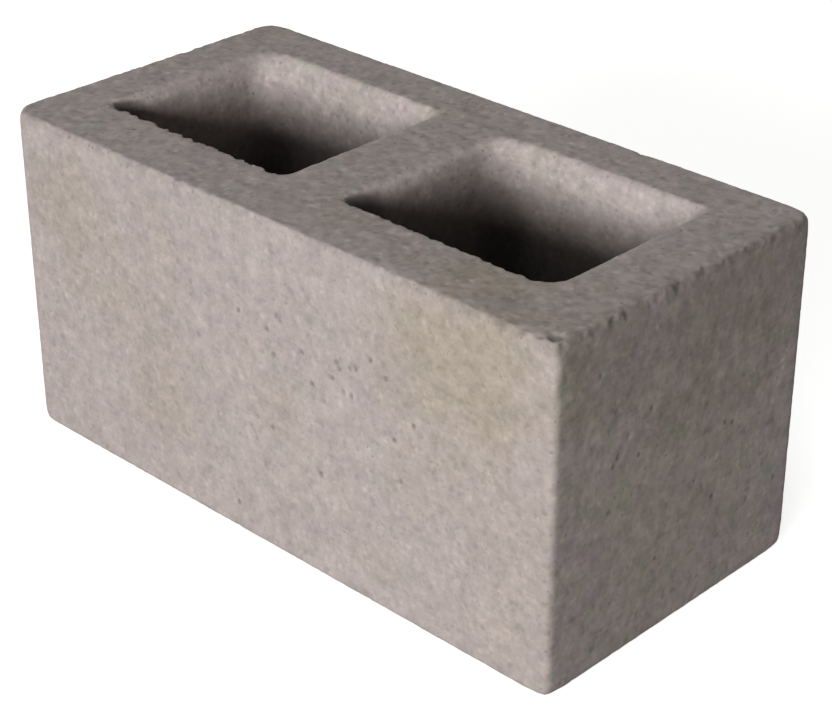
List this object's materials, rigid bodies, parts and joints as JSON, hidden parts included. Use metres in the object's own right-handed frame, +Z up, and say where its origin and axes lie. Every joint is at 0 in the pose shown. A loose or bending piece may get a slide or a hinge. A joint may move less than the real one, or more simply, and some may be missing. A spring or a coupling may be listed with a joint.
{
  "type": "hollow concrete block",
  "caption": "Hollow concrete masonry block with plain ends and tapered through cores, laid in mortar to build walls.",
  "frame": {"origin": "middle of the lower bed face, the underside that rests on the floor", "axes": "+X along the length, +Y across the width, +Z up to the bed with the rolled web edges"},
  "size_m": [0.397, 0.194, 0.194],
  "materials": {
    "cast_concrete": "bare dry-cast concrete, open sandy grain with small pits, matt, warm grey"
  },
  "bodies": {
    "root": {"hollow_block": "cast_concrete"}
  },
  "joints": []
}
